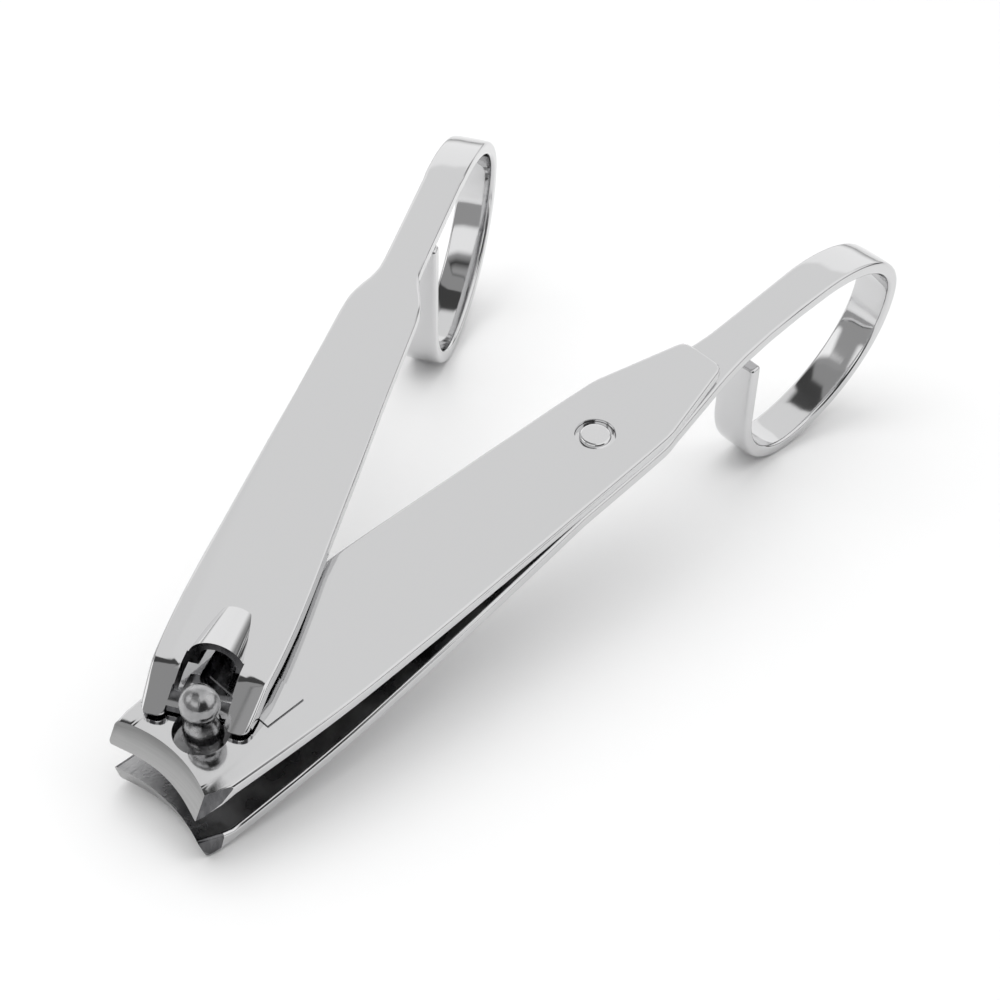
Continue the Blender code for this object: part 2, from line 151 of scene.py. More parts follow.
# Tail rivet.
RIVET_X = 50.57
RIVET_HEAD = 1.55
RIVET_SHANK = 0.95
RIVET_HEAD_DEPTH = 0.5
RIVET_RECESS = 2.07
RIVET_RECESS_DEPTH = 0.85
RIVET_HOLE = 1.3

# Raised pad under the lever's nose.
PAD_X = (4.1, 8.3)
PAD_HALF_WIDTH = 3.9
PAD_HEIGHT = 0.18

# Lever, flat: x along it from the post's axis, z down from its top face.
LEVER_TILT = math.radians(1.8)
LEVER_OUTLINE = (
    (-0.6, 5.0), (1.0, 5.2), (4.5, 5.5), (6.8, 5.62), (11.5, 5.7), (16, 5.6), (23, 5.28),
    (35, 4.8), (40, 4.55), (47, 4.3), (51.5, 4.15), (54.7, 4.0), (56.2, 3.8), (57.8, 3.3),
    (59.3, 2.7), (60.7, 2.32), (62.5, 2.18), (64.5, 2.15),
)
LEVER_RING_SHIFT = (-5.9, 0.8)
LEVER_RING_DEEPER = 0.8
LEVER_RING_HALF_WIDTH = 2.22
LEVER_RING_END_Z = -2.0
LEVER_SHOULDER_X = 54.7
LEVER_STRAP_END = 77
NOSE_CREASE = 4.5
CREASE_REACH = 0.6
NOSE_SLOPE = 0.385
NOSE_TIP = -0.25
FOOT_BOTTOM = -2.22
FOOT_INNER = 2.8
FOOT_OUTER = 5.02
FOOT_ROUND = (0.8, 0.9)
CORNER_REACH = 5
CROSSBAR = (0.75, 2.35, -1.2)
LEVER_AXIS = (1.45, -1.7)
WINDOW_END = 6.0
WINDOW_HALF_WIDTH = 2.7
HOOD_FRONT = (5.6, 2.75, -0.9)
HOOD_BACK = (11.4, 2.1, -1.6)
HOOD_SHEET = 0.85

# Camera, in the plate frame: place in mm, turn in degrees.
CAMERA_AT = (-63.57, -95.67, 156.25)
CAMERA_TURN = (41.77, -0.86, -45.5)
CAMERA_LENS = 78.5
CAMERA_SENSOR = 36
CAMERA_CLIP = 0.01

# Studio panels round the object, seen from it: azimuth from the far side (right is positive) and
# elevation in degrees, each as (low, high), then how soft the edges are and how bright it is.
PANELS = (
    ((-52, 5), (32, 67), 4, 0.92),
    ((-26, 60), (32, 86), 5, 0.95),
    ((-45, 45), (2, 44), 8, 1.15),
    ((50, 118), (10, 82), 6, 1.1),
    ((50, 180), (54, 90), 6, 1.1),
    ((-100, -45), (-5, 52), 6, 0.5),
    ((-110, -72), (18, 48), 5, 1.3),
    ((-126, -86), (50, 84), 4, 0.36),
    ((-180, -86), (-5, 57), 5, 0.4),
    ((-180, -120), (24, 52), 5, 1.15),
    ((-180, -126), (62, 90), 5, 0.42),
)
AMBIENT = 0.07

# The floor's half width in metres, and the key light over the object, in metres and watts.
FLOOR_SIZE = 3
KEY_AT = (-0.12, 0.12, 0.6)
KEY_SIZE = (0.6, 0.6)
KEY_POWER = 2.0


# --- Materials -----------------------------------------------------------------------------------


def metal(name, colour, roughness):
    """A Principled metal and the handles its detail is built on."""
    material = bpy.data.materials.new(name)
    material.use_nodes = True
    nodes = material.node_tree.nodes
    links = material.node_tree.links
    shader = nodes["Principled BSDF"]
    shader.inputs["Metallic"].default_value = 1
    shader.inputs["Base Color"].default_value = (*colour, 1)
    shader.inputs["Roughness"].default_value = roughness
    place = nodes.new("ShaderNodeTexCoord")
    return material, nodes, links, shader, place


def noise(nodes, links, place, scale, detail, stretch=(1, 1, 1)):
    """Noise in the object's own metres, stretched along an axis if asked."""
    mapping = nodes.new("ShaderNodeMapping")
    mapping.inputs["Scale"].default_value = stretch
    links.new(place.outputs["Object"], mapping.inputs["Vector"])
    texture = nodes.new("ShaderNodeTexNoise")
    texture.inputs["Scale"].default_value = scale
    texture.inputs["Detail"].default_value = detail
    links.new(mapping.outputs["Vector"], texture.inputs["Vector"])
    return texture


def vary(nodes, links, texture, low, high, target):
    """Drive a socket between two values with a texture."""
    spread = nodes.new("ShaderNodeMapRange")
    spread.inputs["From Min"].default_value = 0.3
    spread.inputs["From Max"].default_value = 0.7
    spread.inputs["To Min"].default_value = low
    spread.inputs["To Max"].default_value = high
    links.new(texture.outputs["Fac"], spread.inputs["Value"])
    links.new(spread.outputs["Result"], target)


def tint(nodes, links, texture, dark, light, target):
    ramp = nodes.new("ShaderNodeValToRGB")
    ramp.color_ramp.elements[0].position = 0.32
    ramp.color_ramp.elements[0].color = (*dark, 1)
    ramp.color_ramp.elements[1].position = 0.68
    ramp.color_ramp.elements[1].color = (*light, 1)
    links.new(texture.outputs["Fac"], ramp.inputs["Fac"])
    links.new(ramp.outputs["Color"], target)


def bump(nodes, links, texture, depth, shader, after=None):
    """Raise the surface by a texture, depth in metres."""
    lift = nodes.new("ShaderNodeBump")
    lift.inputs["Strength"].default_value = 1
    lift.inputs["Distance"].default_value = depth
    links.new(texture.outputs["Fac"], lift.inputs["Height"])
    if after:
        links.new(after.outputs["Normal"], lift.inputs["Normal"])
    links.new(lift.outputs["Normal"], shader.inputs["Normal"])
    return lift


def make_chrome():
    """Bright plating: a slow waviness from the polished sheet and faint smears."""
    material, nodes, links, shader, place = metal("chrome_plating", (0.64, 0.64, 0.645), 0.07)
    smears = noise(nodes, links, place, 160, 4, (1, 0.35, 1))
    vary(nodes, links, smears, 0.05, 0.11, shader.inputs["Roughness"])
    waves = noise(nodes, links, place, 110, 1)
    first = bump(nodes, links, waves, 0.000012, shader)
    grain = noise(nodes, links, place, 4200, 2)
    bump(nodes, links, grain, 0.0000007, shader, first)
    return material


def make_inner():
    """The jaws' inner faces: plated over a rolled, pebbled surface."""
    material, nodes, links, shader, place = metal("inner_rolled", (0.62, 0.62, 0.625), 0.3)
    patches = noise(nodes, links, place, 300, 5)
    vary(nodes, links, patches, 0.2, 0.38, shader.inputs["Roughness"])
    tint(nodes, links, patches, (0.26, 0.26, 0.265), (0.4, 0.4, 0.405), shader.inputs["Base Color"])
    pebbles = noise(nodes, links, place, 3600, 2)
    bump(nodes, links, pebbles, 0.000025, shader)
    return material


def make_ground():
    """The ground cutting faces: satin, with fine grinding lines along the edge."""
    material, nodes, links, shader, place = metal("ground_steel", (0.5, 0.5, 0.5), 0.34)
    lines = noise(nodes, links, place, 900, 3, (1, 0.08, 6))
    vary(nodes, links, lines, 0.3, 0.38, shader.inputs["Roughness"])
    tint(nodes, links, lines, (0.37, 0.37, 0.37), (0.42, 0.42, 0.42), shader.inputs["Base Color"])
    bump(nodes, links, lines, 0.000002, shader)
    return material


def make_post_steel():
    """The post: duller steel with worn, mottled plating."""
    material, nodes, links, shader, place = metal("post_steel", (0.4, 0.4, 0.405), 0.2)
    mottle = noise(nodes, links, place, 700, 6)
    vary(nodes, links, mottle, 0.14, 0.3, shader.inputs["Roughness"])
    target = shader.inputs["Base Color"]
    tint(nodes, links, mottle, (0.26, 0.26, 0.265), (0.46, 0.46, 0.465), target)
    pits = noise(nodes, links, place, 1500, 4)
    bump(nodes, links, pits, 0.00004, shader)
    return material


def make_sheared_painted_shade():
    """Sheared and hollowed faces with the tool's drag lines, coloured near-black as painted shade:
    the holes, the window, the hood's hollow, the corner flats and the feet's ends are dark by this
    colour, not by light.
    """
    material, nodes, links, shader, place = metal("sheared_steel_painted_shade", (0.2, 0.2, 0.205), 0.26)
    drag = noise(nodes, links, place, 1100, 4, (1, 1, 0.15))
    vary(nodes, links, drag, 0.18, 0.36, shader.inputs["Roughness"])
    # Painted shade: the near-black colour stands in for the shade on these faces; the drag lines
    # only vary it.
    tint(nodes, links, drag, (0.07, 0.07, 0.075), (0.2, 0.2, 0.205), shader.inputs["Base Color"])
    bump(nodes, links, drag, 0.00002, shader)
    return material


def make_rivet_steel():
    """The rivet's head: polished, faintly turned."""
    material, nodes, links, shader, place = metal("rivet_steel", (0.68, 0.68, 0.685), 0.12)
    rub = noise(nodes, links, place, 900, 4)
    vary(nodes, links, rub, 0.09, 0.18, shader.inputs["Roughness"])
    bump(nodes, links, rub, 0.000005, shader)
    return material


# --- Shapes --------------------------------------------------------------------------------------


def half_width(outline, along):
    """Read a smooth curve through an outline's (x, half width) points at each x."""
    knots, values = np.array(outline, float).T
    slopes = np.gradient(values, knots)
    cell = np.clip(np.searchsorted(knots, along) - 1, 0, len(knots) - 2)
    span = knots[cell + 1] - knots[cell]
    t = (along - knots[cell]) / span
    start = (1 + 2 * t) * (1 - t) ** 2 * values[cell] + t * (1 - t) ** 2 * span * slopes[cell]
    end = t * t * (3 - 2 * t) * values[cell + 1] + t * t * (t - 1) * span * slopes[cell + 1]
    return start + end


def spaced(start, stop, step):
    """Evenly spaced stations, near the asked step, both ends included."""
    return np.linspace(start, stop, max(2, round(abs(stop - start) / step) + 1)).tolist()


def add_object(name, bm, *materials):
    bmesh.ops.recalc_face_normals(bm, faces=bm.faces)
    mesh = bpy.data.meshes.new(name)
    bm.to_mesh(mesh)
    bm.free()
    made = bpy.data.objects.new(name, mesh)
    bpy.context.scene.collection.objects.link(made)
    for material in materials:
        mesh.materials.append(material)
    return made


def rounded_section(half, sheet, rounding):
    """(across, depth) points round a strip's section: rounded edges, and faces that roll off."""
    roll = min(ROLL_WIDTH, 0.6 * (half - rounding))
    drop = min(ROLL_DROP, 0.2 * (sheet / 2 - rounding)) * roll / ROLL_WIDTH
    points = []
    for quarter in range(4):
        side = 1 if quarter in (0, 3) else -1
        level = 1 if quarter in (0, 1) else -1
        arc = []
        for step in range(ARC_STEPS + 1):
            angle = math.radians(90 * (quarter + step / ARC_STEPS))
            across = side * (half - rounding) + rounding * math.cos(angle)
            up = level * (sheet / 2 - rounding - drop) + rounding * math.sin(angle)
            arc.append((across, sheet / 2 - up))
        rolled = []
        for step in range(1, ROLL_STEPS + 1):
            part = 1 - step / ROLL_STEPS
            up = level * (sheet / 2 - drop * part * part)
            rolled.append((side * (half - rounding - roll * (1 - part)), sheet / 2 - up))
        points += arc + rolled if quarter in (0, 2) else rolled[::-1] + arc
    return points


def section_part(index):
    """Which part of the section a side face belongs to."""
    half_round = 2 * (ARC_STEPS + ROLL_STEPS + 1)
    place = index % half_round
    if ARC_STEPS <= place < half_round - ARC_STEPS - 1:
        return "up" if index < half_round else "down"
    return "side" if place == half_round - 1 else "edge"


def end_stations(outer, halves, sheets, rounding):
    """Round a strip's last end: stations that step in along a quarter circle."""
    last = np.array(outer[-1])
    away = last - np.array(outer[-2])
    away /= np.linalg.norm(away)
    inward = np.array((away[1], -away[0]))
    steps = []
    for step in range(1, ARC_STEPS + 1):
        angle = math.pi / 2 * step / ARC_STEPS
        inset = rounding * (1 - math.cos(angle))
        ahead = rounding * math.sin(angle) - rounding
        place = tuple(last + away * ahead + inward * inset)
        steps.append((place, halves[-1] - inset, sheets[-1] - 2 * inset))
    first = tuple(last - away * rounding)
    outer = outer[:-1] + [first] + [place for place, _, _ in steps]
    halves = halves + [half for _, half, _ in steps]
    sheets = sheets + [sheet for _, _, sheet in steps]
    return outer, halves, sheets


def strip(name, outer, halves, sheets, materials, paint):
    """Loft a strip whose outer face follows the (x, z) points.

    paint(x, part) picks a face's material.
    """
    count = len(outer)
    outer, halves, sheets = end_stations(outer, halves, sheets, END_ROUND)
    points = np.array(outer)
    legs = np.diff(points, axis=0)
    legs /= np.linalg.norm(legs, axis=1)[:, None]
    ahead = np.vstack([legs, legs[-1:]])
    behind = np.vstack([legs[:1], legs])
    tangent = ahead + behind
    tangent[count - 1:] = legs[count - 2]
    tangent /= np.linalg.norm(tangent, axis=1)[:, None]
    inward = np.column_stack([tangent[:, 1], -tangent[:, 0]])
    bm = bmesh.new()
    rings = []
    for place, normal, half, sheet in zip(points, inward, halves, sheets):
        rounding = min(EDGE_ROUND, sheet / 2 - 0.02)
        ring = []
        for across, depth in rounded_section(half, sheet, rounding):
            x, z = place + normal * depth
            ring.append(bm.verts.new((x * MM, across * MM, z * MM)))
        rings.append(ring)
    sides = len(rings[0])
    for index, (first, second) in enumerate(zip(rings, rings[1:])):
        for i in range(sides):
            j = (i + 1) % sides
            face = bm.faces.new((first[i], first[j], second[j], second[i]))
            face.material_index = paint(points[index][0], section_part(i))
    bm.faces.new(rings[0]).material_index = paint(points[0][0], "start")
    bm.faces.new(rings[-1])
    return add_object(name, bm, *materials)


def box(name, low, high, material):
    bm = bmesh.new()
    size = (Vector(high) - Vector(low)) * MM
    middle = (Vector(high) + Vector(low)) / 2 * MM
    place = Matrix.Translation(middle) @ Matrix.Diagonal((*size, 1))
    bmesh.ops.create_cube(bm, size=1, matrix=place)
    return add_object(name, bm, material)


def rod(name, radius, low, high, material, segments=ROD_SEGMENTS, radius_high=None):
    """A cylinder, or a cone with radius_high, between two points."""
    bm = bmesh.new()
    along = (Vector(high) - Vector(low)) * MM
    turn = along.to_track_quat("Z", "Y").to_matrix().to_4x4()
    bmesh.ops.create_cone(
        bm,
        cap_ends=True,
        segments=segments,
        radius1=radius * MM,
        radius2=(radius if radius_high is None else radius_high) * MM,
        depth=along.length,
        matrix=Matrix.Translation((Vector(high) + Vector(low)) / 2 * MM) @ turn,
    )
    return add_object(name, bm, material)


def keep_above(made, level):
    """Cut a closed mesh off at a height and cap it."""
    bm = bmesh.new()
    bm.from_mesh(made.data)
    everything = bm.verts[:] + bm.edges[:] + bm.faces[:]
    cut = bmesh.ops.bisect_plane(
        bm, geom=everything, plane_co=(0, 0, level * MM), plane_no=(0, 0, 1), clear_inner=True
    )
    rim = [edge for edge in cut["geom_cut"] if isinstance(edge, bmesh.types.BMEdge)]
    bmesh.ops.contextual_create(bm, geom=rim)
    bmesh.ops.recalc_face_normals(bm, faces=bm.faces)
    bm.to_mesh(made.data)
    bm.free()
    return made


def turned(name, profile, material):
    """Turn an (r, z) profile, listed from top to bottom down its outer side, about Z."""
    bm = bmesh.new()
    verts = [bm.verts.new((r * MM, 0, z * MM)) for r, z in profile]
    for first, second in zip(verts, verts[1:]):
        bm.edges.new((first, second))
    mesh = bpy.data.meshes.new(name)
    bm.to_mesh(mesh)
    bm.free()
    mesh.materials.append(material)
    made = bpy.data.objects.new(name, mesh)
    bpy.context.scene.collection.objects.link(made)
    screw = made.modifiers.new("turn", "SCREW")
    screw.steps = TURN_STEPS
    screw.render_steps = TURN_STEPS
    screw.use_merge_vertices = True
    screw.merge_threshold = TURN_MERGE
    return made


def settle(made):
    """Replace an object's mesh by its evaluated one and drop its modifiers."""
    graph = bpy.context.evaluated_depsgraph_get()
    mesh = bpy.data.meshes.new_from_object(made.evaluated_get(graph), depsgraph=graph)
    made.modifiers.clear()
    made.data = mesh
    return made


def cut(made, *tools, operation="DIFFERENCE"):
    """Boolean each tool into the piece, keeping the tool's material on the cut faces."""
    for tool in tools:
        change = made.modifiers.new(tool.name, "BOOLEAN")
        change.operation = operation
        change.solver = "EXACT"
        change.material_mode = "TRANSFER"
        change.object = tool
        settle(made)
        bpy.data.objects.remove(tool, do_unlink=True)
    return made


def finish_edges(made, width=BREAK_EDGE):
    """Merge stray points, break sharp edges and shade the rounds smooth."""
    bm = bmesh.new()
    bm.from_mesh(made.data)
    bmesh.ops.remove_doubles(bm, verts=bm.verts, dist=MERGE)
    bmesh.ops.dissolve_degenerate(bm, dist=MERGE, edges=bm.edges)
    bmesh.ops.dissolve_limit(
        bm,
        angle_limit=math.radians(FLAT_ANGLE),
        verts=bm.verts,
        edges=bm.edges,
        delimit={"MATERIAL"},
    )
    bmesh.ops.recalc_face_normals(bm, faces=bm.faces)
    bm.to_mesh(made.data)
    bm.free()
    if width:
        bevel = made.modifiers.new("break_edges", "BEVEL")
        bevel.width = width * MM
        bevel.segments = 2
        bevel.limit_method = "ANGLE"
        bevel.angle_limit = math.radians(BREAK_ANGLE)
        bevel.harden_normals = False
        settle(made)
    made.data.shade_smooth()
    made.data.set_sharp_from_angle(angle=math.radians(SHARP_ANGLE))
    weigh = made.modifiers.new("flat_faces_stay_flat", "WEIGHTED_NORMAL")
    weigh.keep_sharp = True
    weigh.weight = 100
    return made


# --- Layout --------------------------------------------------------------------------------------


def plate_frame(joints):
    """The plate frame in the world, read from the joints."""
    swivel = joints["lever_swivel"]
    z = Vector(swivel["axis"]).normalized()
    y = -Vector(joints["jaw_close"]["axis"]).normalized()
    x = y.cross(z).normalized()
    y = z.cross(x)
    matrix = Matrix((x, y, z)).transposed().to_4x4()
    matrix.translation = Vector(swivel["pos_m"])
    return matrix


def lever_frame(plate, joints):
    """The flat lever's frame: its Y is the crossbar's axis, which is the lift joint's."""
    lift = joints["lever_lift"]
    across = plate.inverted().to_3x3() @ -Vector(lift["axis"])
    yaw = math.atan2(-across.x, across.y)
    turn = plate.to_3x3().to_4x4() @ Matrix.Rotation(yaw, 4, "Z")
    turn = turn @ Matrix.Rotation(LEVER_TILT, 4, "Y")
    x, z = LEVER_AXIS
    turn.translation = Vector(lift["pos_m"])
    return turn @ Matrix.Translation((-x * MM, 0, -z * MM))


def jaw_widths(xs, tail, narrower=0):
    """Half widths: straight ground corners, a smooth blade, a shoulder and a straight taper."""
    outline = JAW_OUTLINE + JAW_SHOULDER
    widths = []
    for x in xs:
        if x < JAW_OUTLINE[0][0]:
            width = np.interp(x, *np.array(CORNER_OUTLINE + JAW_OUTLINE[:1], float).T)
        elif x > JAW_SHOULDER[-1][0]:
            width = np.interp(x, *np.array(JAW_SHOULDER[-1:] + tail, float).T)
        else:
            width = half_width(outline, np.array(x))
        fade = np.interp(x, (-9, JAW_SHOULDER[0][0], tail[-1][0]), (1, 1, 0))
        widths.append(float(width) - narrower * float(fade))
    return widths


def lower_top(x):
    """Height of the lower jaw's top: flat under the tail, then sloping away to the lip."""
    if x < LIP_X:
        return lower_top(LIP_X) + LIP_SLOPE * (LIP_X - x)
    return LOWER_TOP - MOUTH_SLOPE * max(0.0, PARTING_X - x)


def ring_path(end_z, shift=(0, 0), deeper=0):
    """Outer points of a finger ring, from the strap's end round to its free end."""
    back_x, back_z, back_rx, back_rz = RING_BACK
    front_x, front_z, front_rx, front_rz = RING_FRONT
    turns = (
        (RING_TOP, 90, 0),
        ((back_x, back_z, back_rx, back_rz + deeper), 0, -90),
        ((front_x, front_z - deeper, front_rx, front_rz), -90, -180),
    )
    points = []
    for (x, z, rx, rz), start, stop in turns:
        for step in range(RING_STEPS):
            angle = math.radians(start + (stop - start) * step / RING_STEPS)
            points.append((x + rx * math.cos(angle), z + rz * math.sin(angle)))
    left = front_x - front_rx
    points.append((left, front_z - deeper))
    points = [(x + shift[0], z + shift[1]) for x, z in points]
    return points + [(left + shift[0], end_z)]


def grind(name, edge, lean, material):
    """The leaning cylinder that grinds a jaw's hollow front, through the edge's middle."""
    lean = math.radians(lean)
    axis = Vector((math.sin(lean), 0, math.cos(lean)))
    ahead = Vector((-math.cos(lean), 0, math.sin(lean)))
    middle = Vector((edge[0], 0, edge[1])) + ahead * GRIND_RADIUS
    low = middle - axis * GRIND_REACH
    high = middle + axis * GRIND_REACH
    return rod(name, GRIND_RADIUS, low, high, material, GRIND_SEGMENTS)


def paint_upper(x, part):
    return 1 if part == "down" else 0


def paint_lower(x, part):
    # Index 2 paints the lower jaw's front sides and edges near-black: painted shade.
    if x < LOWER_CORNER_X and part in ("side", "edge"):
        return 2
    return 1 if part == "up" and x < PARTING_X else 0


def paint_lever(x, part):
    # Index 1 paints the start cap, which ends up as the ends of the lever's feet, near-black:
    # painted shade.
    return 1 if part == "start" else 0


def build_upper_jaw(chrome, inner, ground, sheared_painted_shade):
    """The upper jaw's plate, with its pad, hollow ground edge, post hole and rivet recess."""
    xs = spaced(JAW_FRONT, UPPER_LIP_X, LIP_STEP)
    xs += spaced(UPPER_LIP_X, JAW_SHOULDER[0][0], STRIP_STEP)[1:]
    xs += spaced(JAW_SHOULDER[0][0], JAW_SHOULDER[-1][0], SHOULDER_STEP)[1:]
    xs += [x for x, _ in UPPER_TAIL] + [UPPER_TAIL_END]
    ahead = [min(max(0, UPPER_LIP_X - x), UPPER_LIP_LENGTH) for x in xs]
    outer = [(x, -UPPER_LIP_DROP * lip) for x, lip in zip(xs, ahead)]
    sheets = [SHEET + UPPER_LIP_THICKENING * lip for lip in ahead]
    widths = jaw_widths(xs, UPPER_TAIL + ((UPPER_TAIL_END, UPPER_TAIL_END_HALF_WIDTH),))
    jaw = strip("upper_jaw_plate", outer, widths, sheets, (chrome, inner), paint_upper)
    low = (PAD_X[0], -PAD_HALF_WIDTH, -SHEET / 2)
    pad = box("pad_stamp", low, (PAD_X[1], PAD_HALF_WIDTH, PAD_HEIGHT), chrome)
    # The pad's sides take the near-black material: painted shade.
    pad.data.materials.append(sheared_painted_shade)
    for face in pad.data.polygons:
        face.material_index = 0 if face.normal.z > 0.5 else 1
    cut(jaw, pad, operation="UNION")
    cut(jaw, grind("upper_grind", UPPER_EDGE, UPPER_GRIND_LEAN, ground))
    # The corner flat and the post hole's wall take the near-black material: painted shade.
    dress_corner(jaw, UPPER_CORNER, sheared_painted_shade)
    cut(jaw, rod("post_hole", UPPER_POST_HOLE, (*UPPER_HOLE_AT, -4), (*UPPER_HOLE_AT, 2), sheared_painted_shade))
    cut(jaw, rod("rivet_hole", RIVET_HOLE, (RIVET_X, 0, -4), (RIVET_X, 0, 1), chrome))
    ledge = (RIVET_X, 0, -RIVET_RECESS_DEPTH)
    cut(jaw, rod("rivet_recess", RIVET_RECESS, ledge, (RIVET_X, 0, 1), chrome))
    return finish_edges(jaw, JAW_BREAK_EDGE)


def build_lower_jaw(chrome, inner, ground, sheared_painted_shade):
    """The lower jaw, strap and ring in one strip, with its hollow ground edge and holes."""
    xs = spaced(JAW_FRONT, LIP_X, LIP_STEP) + spaced(LIP_X, PARTING_X, STRIP_STEP)[1:]
    xs += spaced(PARTING_X, JAW_SHOULDER[0][0], STRIP_STEP)[1:]
    xs += spaced(JAW_SHOULDER[0][0], JAW_TAPER_X, SHOULDER_STEP)[1:]
    xs += spaced(JAW_TAPER_X, STRAP_RISE[0][0] - TAPER_STEP, TAPER_STEP)[1:]
    outer = [(x, lower_top(x)) for x in xs]
    rise = spaced(STRAP_RISE[0][0], STRAP_RISE[-1][0], RISE_STEP)
    outer += [(x, float(half_width(STRAP_RISE, np.array(x)))) for x in rise]
    ring = ring_path(RING_END_Z)
    widths = jaw_widths(xs + rise, LOWER_TAIL, LOWER_NARROWER)
    widths += np.linspace(*RING_HALF_WIDTH, len(ring)).tolist()
    sheets = [SHEET + LOWER_LIP_THICKENING * max(0, LIP_X - x) for x, _ in outer + ring]
    materials = (chrome, inner, sheared_painted_shade)
    jaw = strip("lower_jaw_strip", outer + ring, widths, sheets, materials, paint_lower)
    cut(jaw, grind("lower_grind", LOWER_EDGE, LOWER_GRIND_LEAN, ground))
    # The corner flat and the post hole's wall take the near-black material: painted shade.
    dress_corner(jaw, LOWER_CORNER, sheared_painted_shade)
    cut(jaw, rod("post_hole", LOWER_POST_HOLE, (0, 0, -12), (0, 0, -4), sheared_painted_shade))
    radius, level = FLANGE_RECESS
    cut(jaw, rod("flange_recess", radius, (0, 0, -12), (0, 0, level), chrome))
    cut(jaw, rod("rivet_hole", RIVET_HOLE, (RIVET_X, 0, -6), (RIVET_X, 0, 0), chrome))
    ledge = (RIVET_X, 0, LOWER_TOP - SHEET + RIVET_RECESS_DEPTH)
    cut(jaw, rod("rivet_recess", RIVET_RECESS, (RIVET_X, 0, -6), ledge, chrome))
    return finish_edges(jaw, JAW_BREAK_EDGE)


def build_rivet(steel):
    """The rivet: the same countersunk head at both ends of its shank."""
    bottom = LOWER_TOP - SHEET
    rim = RIVET_RECESS - 0.05
    upper = ((0, 0), (RIVET_HEAD - 0.25, -0.01), (RIVET_HEAD - 0.08, -0.06), (RIVET_HEAD, -0.16))
    upper += ((RIVET_HEAD + 0.06, -0.28), (RIVET_HEAD + 0.2, -0.34), (rim, -0.36))
    upper += ((rim, -RIVET_HEAD_DEPTH), (RIVET_SHANK, -RIVET_HEAD_DEPTH))
    profile = upper + tuple((radius, bottom - z) for radius, z in reversed(upper))
    rivet = settle(turned("rivet_metal", profile, steel))
    rivet.location.x = RIVET_X * MM
    return finish_edges(rivet, 0)


def build_post(steel):
    """The post, turned from its dome, waist, shank and foot flange."""
    start = math.degrees(math.asin((POST_PROFILE[0][1] - DOME_CENTRE) / DOME_RADIUS))
    dome = []
    for step in range(DOME_STEPS + 1):
        angle = math.radians(90 + (start - 90) * step / DOME_STEPS)
        out = abs(DOME_RADIUS * math.cos(angle))
        dome.append((out, DOME_CENTRE + DOME_RADIUS * math.sin(angle)))
    dome[0] = (0, DOME_CENTRE + DOME_RADIUS)
    shaft = POST_PROFILE[:POST_WAIST_POINTS]
    heights = spaced(shaft[0][1], shaft[-1][1], WAIST_STEP)
    radii = half_width([(z, r) for r, z in reversed(shaft)], np.array(heights))
    waist = tuple(zip(radii.tolist(), heights))[1:]
    radius, top, bottom = FLANGE
    flange = ((radius - FLANGE_CHAMFER, top), (radius, top - FLANGE_CHAMFER))
    flange += ((radius, bottom + FLANGE_CHAMFER), (radius - FLANGE_CHAMFER, bottom), (0, bottom))
    profile = tuple(dome) + waist + POST_PROFILE[POST_WAIST_POINTS:] + flange
    return settle(turned("post_metal", profile, steel))


def lever_top(x):
    """Height of the flat lever's top: level, and falling along the nose."""
    return -NOSE_SLOPE * max(0.0, NOSE_CREASE - x)


def hood(name, grow, start, stop, material):
    """A cone along the lever's hood: its radius and centre height run between two stations."""
    x0, r0, z0 = HOOD_FRONT
    x1, r1, z1 = HOOD_BACK
    ends = []
    radii = []
    for x in (start, stop):
        part = (x - x0) / (x1 - x0)
        ends.append(Vector((x, 0, z0 + part * (z1 - z0))))
        radii.append(r0 + part * (r1 - r0) + grow)
    return rod(name, radii[0], ends[0], ends[1], material, radius_high=radii[1])


def round_corner(made, side, out, y, radius, material):
    """Round a corner of a lever's foot along the ramp's normal; out is the way the foot ends."""
    lean = math.atan(NOSE_SLOPE)
    down = Vector((-math.cos(lean), 0, -math.sin(lean)))
    across = Vector((0, out * side, 0))
    normal = down.cross(across)
    centre = Vector((NOSE_TIP, side * y, lever_top(NOSE_TIP))) - (down + across) * radius
    block = box("block", (0, 0, -4), (radius + 0.8, radius + 0.8, 4), material)
    turn = Matrix((down, across, normal)).transposed().to_4x4()
    turn.translation = centre * MM
    block.data.transform(turn)
    low = centre - normal * CORNER_REACH
    high = centre + normal * CORNER_REACH
    cut(block, rod("corner_round", radius, low, high, material, CORNER_SEGMENTS))
    cut(made, block)


def dress_corner(made, corner, material):
    """Cut the flat that is dressed on a jaw's front corner."""
    at, normal = corner
    tool = box("flat", (0, -9, -9), (9, 9, 9), material)
    turn = Vector(normal).to_track_quat("X", "Z").to_matrix().to_4x4()
    turn.translation = Vector(at) * MM
    tool.data.transform(turn)
    cut(made, tool)


